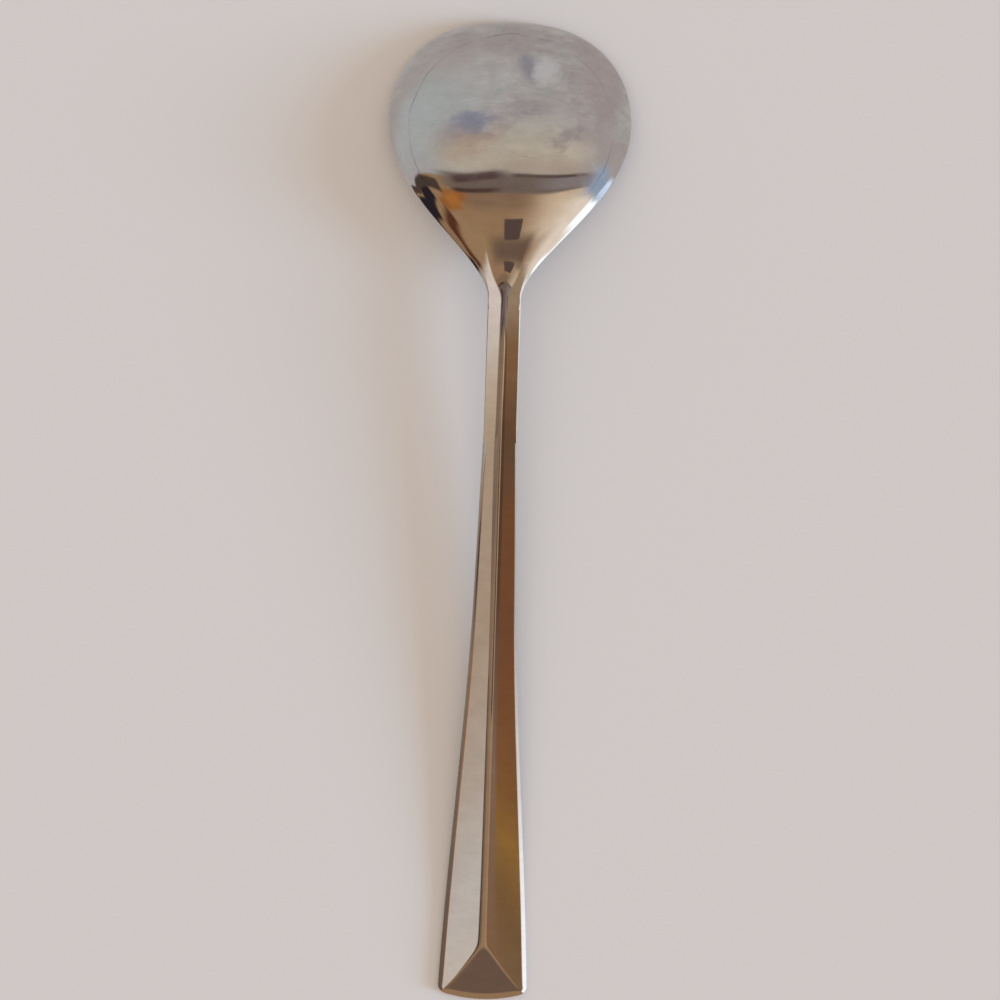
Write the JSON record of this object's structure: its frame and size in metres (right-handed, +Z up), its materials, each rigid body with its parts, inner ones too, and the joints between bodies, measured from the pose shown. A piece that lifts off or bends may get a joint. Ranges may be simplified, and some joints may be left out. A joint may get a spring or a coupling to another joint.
{
  "type": "soup spoon",
  "caption": "Polished steel soup spoon with a round hollow bowl, a ridged back to its handle and a flared, hipped end.",
  "frame": {"origin": "on the table, under the middle of the spoon's bounding box, with the spoon lying face down", "axes": "+Y along the spoon from the handle's end to the tip of the bowl, +Z up out of the back, +X to the right seen from above"},
  "size_m": [0.044, 0.178, 0.0121],
  "materials": {
    "polished_steel": "mirror-polished stainless steel, with faint water and heat marks on the bowl"
  },
  "bodies": {
    "root": {"bowl": "polished_steel", "neck": "polished_steel", "shank": "polished_steel", "grip": "polished_steel"}
  },
  "joints": []
}
